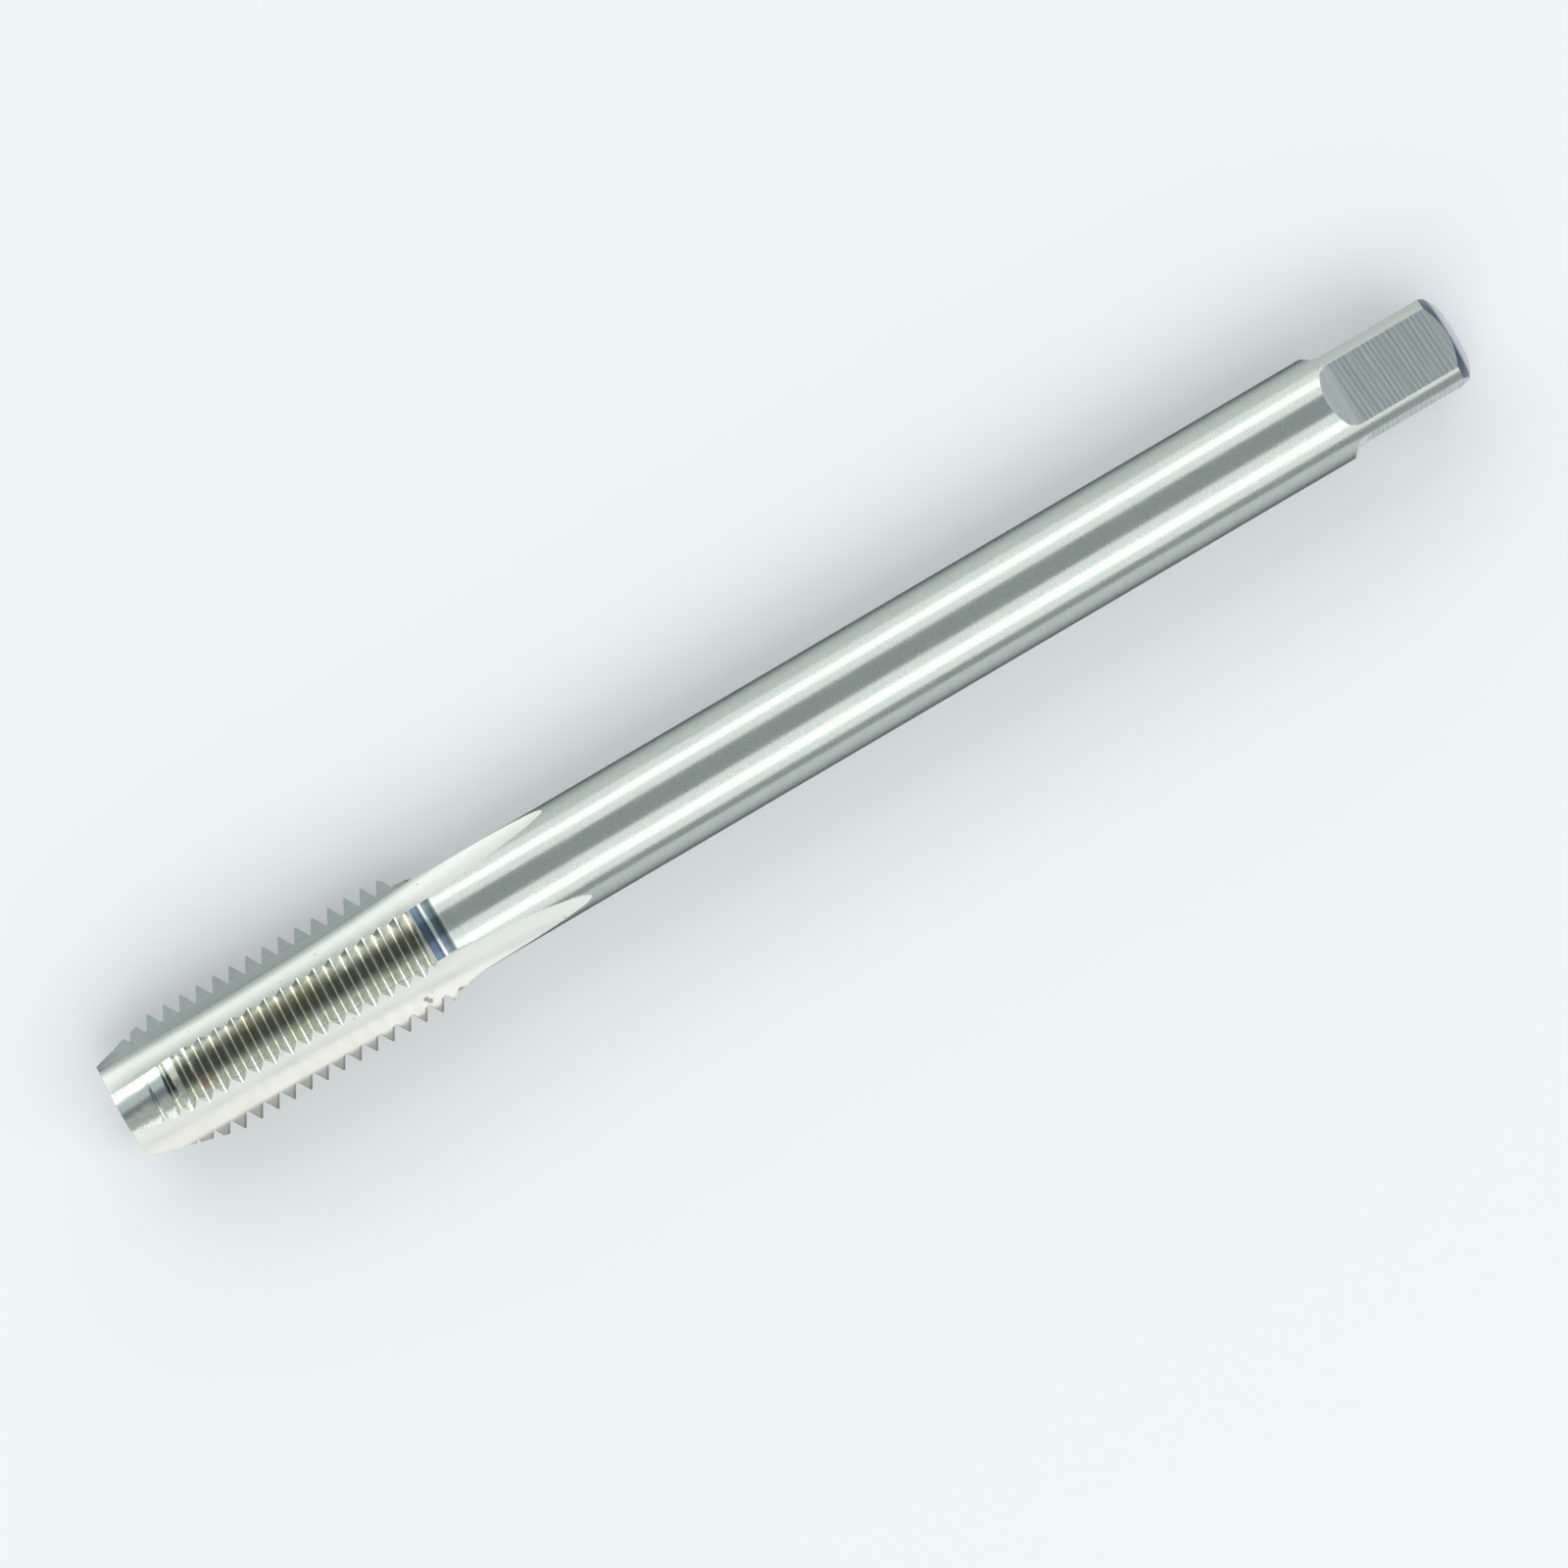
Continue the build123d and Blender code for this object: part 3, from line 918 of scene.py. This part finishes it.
def ground_flute():
    """Ground along the tool, with painted shade towards the foot of the face and the heel, painted light
    across the middle, painted shade beside the teeth, specks and one nick.
    """
    finish = Finish("ground flute")
    tree = finish.tree
    axis = finish.use(AXIS)
    lines = finish.use(LINES, Stretch=(0.02, 1.0, 1.0), Contrast=1.6)
    speckle = finish.use(SPECKLE, Size=0.12, Amount=0.5)
    # Painted shade and light: by the angle from the flute's bottom line, the colour runs from dark at the
    # foot of the face, through near white across the middle, to dark at the heel.
    from_bottom = from_each_land(tree, axis["Angle"], TOP_EDGE + BOTTOM_ANGLE)
    climbing = maths(tree, "MAXIMUM", maths(tree, "SUBTRACT", axis["Along"], CLIMB_START), 0.0)
    narrower_by_rise = 0.29
    narrowing = maths(tree, "POWER", climbing, 2.0)
    narrowing = maths(tree, "MULTIPLY", narrowing, narrower_by_rise / (2 * WHEEL_RADIUS))
    across = maths(tree, "MULTIPLY", from_bottom, maths(tree, "ADD", narrowing, 1.0))
    base = finish.colours(
        ramp(tree, across, -40.0, 45.0),
        [
            (0.0, (0.22, 0.25, 0.24)),
            (0.05, (0.34, 0.38, 0.35)),
            (0.12, (0.86, 0.90, 0.83)),
            (0.19, (0.98, 1.0, 0.92)),
            (0.45, (0.95, 0.96, 0.88)),
            (0.70, (0.98, 0.97, 0.90)),
            (0.80, (0.84, 0.83, 0.77)),
            (0.86, (0.66, 0.65, 0.60)),
            (0.915, (0.50, 0.49, 0.45)),
            (0.93, (0.24, 0.235, 0.22)),
        ],
    )
    base = finish.tint(base, lines["Lines"], 0.12, (0.66, 0.68, 0.62))
    # Painted shade: dark strips beside the flanks of the teeth.
    base = finish.tint(base, painted_shade_beside_teeth(tree, axis), 0.9, (0.17, 0.165, 0.15))
    spots = finish.use(SPECKS, Spacing=1.1, Size=0.10)
    nick_start = finish.use(STAIN, Centre=(16.77 * MM, -2.75 * MM, 0.37 * MM), Reach=0.23)
    nick_end = finish.use(STAIN, Centre=(16.90 * MM, -2.96 * MM, 0.26 * MM), Reach=0.24)
    nick = maths(tree, "MAXIMUM", nick_start["Mask"], nick_end["Mask"])
    faint_spots = maths(tree, "MULTIPLY", spots["Mask"], 0.4)
    marks = maths(tree, "MAXIMUM", faint_spots, maths(tree, "MULTIPLY", nick, 0.85))
    base = finish.mix(marks, base, (0.24, 0.23, 0.20))
    finish.paint(base, ramp(tree, speckle["Clouds"], 0.3, 0.7, 0.33, 0.40))
    finish.relief(lines["Height"], 0.001)
    return finish.material


def cutting_face():
    """Darker ground steel, with its lines along the tool."""
    finish = Finish("ground cutting face")
    lines = finish.use(LINES, Stretch=(0.03, 1.0, 1.0), Contrast=1.8)
    speckle = finish.use(SPECKLE, Size=0.10, Amount=0.8)
    base = finish.mix(lines["Lines"], (0.29, 0.34, 0.32), (0.46, 0.51, 0.48))
    base = finish.tint(base, speckle["Speckle"], 0.4, (0.38, 0.43, 0.40))
    finish.paint(base, ramp(finish.tree, lines["Lines"], 0.2, 0.8, 0.20, 0.30))
    finish.relief(lines["Height"], 0.001)
    return finish.material


def ground_thread():
    """Bright ground flanks, painted highlights towards the crests and the lowest roots, a painted dark
    reflection along each land, and one copper-coloured spot.
    """
    finish = Finish("ground thread")
    tree = finish.tree
    axis = finish.use(AXIS)
    lines = finish.use(LINES, Stretch=(1.0, 0.05, 0.05), Contrast=1.5)
    speckle = finish.use(SPECKLE, Size=0.16, Amount=1.6)
    # Painted highlights: lighter towards the crests and at the lowest roots than on the flanks.
    height = ramp(tree, axis["Radius"], 3.15, 3.95)
    base = finish.colours(
        height,
        [
            (0.0, (0.86, 0.86, 0.78)),
            (0.14, (0.66, 0.68, 0.60)),
            (0.80, (0.70, 0.72, 0.66)),
            (0.95, (0.88, 0.90, 0.87)),
        ],
    )
    ground = ramp(tree, axis["Along"], 2.9, 3.3)
    base = finish.mix(ground, (0.76, 0.78, 0.71), base)
    base = finish.tint(base, lines["Lines"], 0.3, (0.72, 0.73, 0.66))
    # Painted shade: a dark band along the middle of each land that stands for the dim room mirrored from
    # above, blue-grey on the lead and olive further on. The same tone also darkens the speckles.
    from_middle = from_each_land(tree, axis["Angle"], TOP_EDGE - 0.64 * LAND_ANGLE)
    wandering = maths(tree, "MULTIPLY", maths(tree, "SUBTRACT", speckle["Clouds"], 0.5), 14.0)
    away = maths(tree, "ABSOLUTE", maths(tree, "ADD", from_middle, wandering))
    painted_dark_band = ramp(tree, away, 7.5, 13.5, 1.0, 0.0)
    speckle_and_painted_band_tone = finish.mix(ground, (0.24, 0.29, 0.29), (0.31, 0.31, 0.25))
    strength = ramp(tree, ground, 0.0, 1.0, 0.85, 0.60)
    base = finish.tint(base, painted_dark_band, strength, speckle_and_painted_band_tone)
    base = finish.tint(base, speckle["Speckle"], 0.24, speckle_and_painted_band_tone)
    warm = ramp(tree, speckle["Clouds"], 0.52, 0.70, 0.0, 0.22)
    base = finish.mix(warm, base, (0.56, 0.50, 0.30))
    stain = finish.use(STAIN, Centre=(4.62 * MM, -0.56 * MM, 3.45 * MM), Reach=0.55)
    base = finish.tint(base, stain["Mask"], 0.7, (0.50, 0.28, 0.23))
    finish.paint(base, ramp(tree, lines["Lines"], 0.2, 0.8, 0.13, 0.22))
    finish.relief(lines["Height"], 0.0008)
    return finish.material


def tempered_neck():
    """Dark blue temper colours in bands round the neck."""
    finish = Finish("tempered neck")
    axis = finish.use(AXIS)
    lines = finish.use(LINES, Stretch=(1.0, 0.05, 0.05), Contrast=1.6)
    along = ramp(finish.tree, axis["Along"], 18.3, 20.3)
    base = finish.colours(
        along,
        [
            (0.0, (0.07, 0.085, 0.085)),
            (0.05, (0.10, 0.14, 0.18)),
            (0.17, (0.10, 0.15, 0.215)),
            (0.25, (0.055, 0.085, 0.11)),
            (0.30, (0.62, 0.68, 0.66)),
            (0.35, (0.56, 0.62, 0.59)),
            (0.39, (0.15, 0.20, 0.21)),
            (0.55, (0.07, 0.105, 0.12)),
            (0.61, (0.20, 0.24, 0.235)),
            (0.65, (0.56, 0.60, 0.57)),
            (0.72, (0.49, 0.53, 0.50)),
        ],
    )
    finish.paint(base, ramp(finish.tree, lines["Lines"], 0.2, 0.8, 0.16, 0.24))
    finish.relief(lines["Height"], 0.0008)
    return finish.material


def milled_flat():
    """Fine marks of the cutter right across the flat, with a smooth ramp at the shank."""
    finish = Finish("milled flat")
    tree = finish.tree
    axis = finish.use(AXIS)
    marks = finish.use(CUTTER_MARKS, Spacing=0.29)
    speckle = finish.use(SPECKLE, Size=0.09, Amount=1.0)
    milled = ramp(tree, axis["Along"], 74.1, 74.5)
    base = finish.mix(marks["Marks"], (0.36, 0.41, 0.405), (0.66, 0.72, 0.70))
    base = finish.tint(base, speckle["Speckle"], 0.25, (0.40, 0.45, 0.45))
    base = finish.mix(milled, (0.78, 0.82, 0.79), base)
    finish.paint(base, ramp(tree, milled, 0.0, 1.0, 0.24, 0.34))
    finish.relief(maths(tree, "MULTIPLY", marks["Marks"], milled), 0.003)
    return finish.material


def bevelled_end():
    """Ground steel within a dark blue rim."""
    finish = Finish("bevelled end")
    axis = finish.use(AXIS)
    lines = finish.use(LINES, Stretch=(0.6, 0.1, 0.1), Contrast=1.4)
    rim = ramp(finish.tree, axis["Radius"], 2.2, 2.45)
    base = finish.mix(rim, (0.58, 0.62, 0.64), (0.03, 0.045, 0.10))
    base = finish.tint(base, lines["Lines"], 0.2, (0.20, 0.24, 0.30))
    finish.paint(base, ramp(finish.tree, lines["Lines"], 0.2, 0.8, 0.22, 0.32))
    finish.relief(lines["Height"], 0.0008)
    return finish.material


def front_face():
    """Plain ground steel, with straight lines across."""
    finish = Finish("ground front face")
    lines = finish.use(LINES, Stretch=(0.2, 1.0, 0.05), Contrast=1.6)
    base = finish.mix(lines["Lines"], (0.46, 0.50, 0.48), (0.64, 0.67, 0.63))
    finish.paint(base, ramp(finish.tree, lines["Lines"], 0.2, 0.8, 0.24, 0.34))
    finish.relief(lines["Height"], 0.001)
    return finish.material


tap = threaded_tap(
    {
        "thread": ground_thread(),
        "flute": ground_flute(),
        "face": cutting_face(),
        "neck": tempered_neck(),
        "shank": satin_shank(),
        "flat": milled_flat(),
        "end": bevelled_end(),
        "front": front_face(),
    }
)
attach(tap, "root")
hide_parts("thread_tap")


# ---------------------------------------------------------------- floor, light and camera
FLOOR_HALF = 1.2
SOFT_BOX_MIDDLE = 0.03
CAMERA_STAND = Vector((0.026, 0.024, 0.70))
CAMERA_TARGET = Vector((0.03868, -0.00253, 0.0))
CAMERA_ROLL = math.radians(30.43)
VIEW_WIDTH = 0.08236
SENSOR_WIDTH = 36.0


def pale_floor():
    """A matt floor at the foot of the tap."""
    half, level = FLOOR_HALF, cad_box[0][2]
    corners = [(-half, -half, level), (half, -half, level), (half, half, level), (-half, half, level)]
    mesh = bpy.data.meshes.new("floor")
    mesh.from_pydata(corners, [], [(0, 1, 2, 3)])
    floor = bpy.data.objects.new("floor", mesh)
    bpy.context.scene.collection.objects.link(floor)
    material = bpy.data.materials.new("pale floor")
    material.use_nodes = True
    surface = material.node_tree.nodes["Principled BSDF"]
    surface.inputs["Base Color"].default_value = (0.88, 0.89, 0.895, 1)
    surface.inputs["Roughness"].default_value = 0.9
    surface.inputs["Specular IOR Level"].default_value = 0.1
    mesh.materials.append(material)


def soft_box(name, lean, distance, size, brightness):
    """A long lamp beside the tap, leaning from straight up about its axis, of an even brightness."""
    light = bpy.data.lights.new(name, "AREA")
    light.shape = "RECTANGLE"
    light.size, light.size_y = size
    light.energy = brightness * math.pi * size[0] * size[1]
    lamp = bpy.data.objects.new(name, light)
    bpy.context.scene.collection.objects.link(lamp)
    lean = math.radians(lean)
    out = Vector((0, -math.sin(lean), math.cos(lean)))
    side = Vector((1, 0, 0))
    turn = Matrix((side, out.cross(side), out)).transposed().to_4x4()
    turn.translation = Vector((SOFT_BOX_MIDDLE, 0, 0)) + out * distance
    lamp.matrix_world = turn
    lamp.visible_camera = False


def grey_room():
    """The grey surroundings that the steel mirrors past the soft boxes."""
    world = bpy.data.worlds.new("studio")
    world.use_nodes = True
    background = world.node_tree.nodes["Background"]
    background.inputs["Color"].default_value = (0.44, 0.48, 0.50, 1)
    background.inputs["Strength"].default_value = 1.0
    bpy.context.scene.world = world


def camera_over_the_tap():
    """A camera that looks down on the tap and is rolled, so that the tap lies aslant."""
    ahead = (CAMERA_TARGET - CAMERA_STAND).normalized()
    along = (Vector((1, 0, 0)) - ahead * ahead.x).normalized()
    across = (-ahead).cross(along)
    right = along * math.cos(CAMERA_ROLL) - across * math.sin(CAMERA_ROLL)
    up = along * math.sin(CAMERA_ROLL) + across * math.cos(CAMERA_ROLL)
    pose = Matrix((right, up, -ahead)).transposed().to_4x4()
    pose.translation = CAMERA_STAND
    data = bpy.data.cameras.new("camera")
    data.sensor_width = SENSOR_WIDTH
    data.lens = SENSOR_WIDTH * (CAMERA_TARGET - CAMERA_STAND).length / VIEW_WIDTH
    data.clip_start = 0.01
    data.clip_end = 10
    camera = bpy.data.objects.new("camera", data)
    camera.matrix_world = pose
    bpy.context.scene.collection.objects.link(camera)
    bpy.context.scene.camera = camera


pale_floor()
soft_box("near_light", lean=42, distance=0.60, size=(1.6, 0.20), brightness=0.72)
soft_box("near_surround", lean=41, distance=0.70, size=(1.6, 0.82), brightness=0.84)
soft_box("far_light", lean=-60, distance=0.60, size=(1.6, 0.17), brightness=0.75)
soft_box("far_surround", lean=-61, distance=0.70, size=(1.6, 0.76), brightness=0.84)
grey_room()
camera_over_the_tap()
bpy.context.scene.view_settings.view_transform = "Standard"
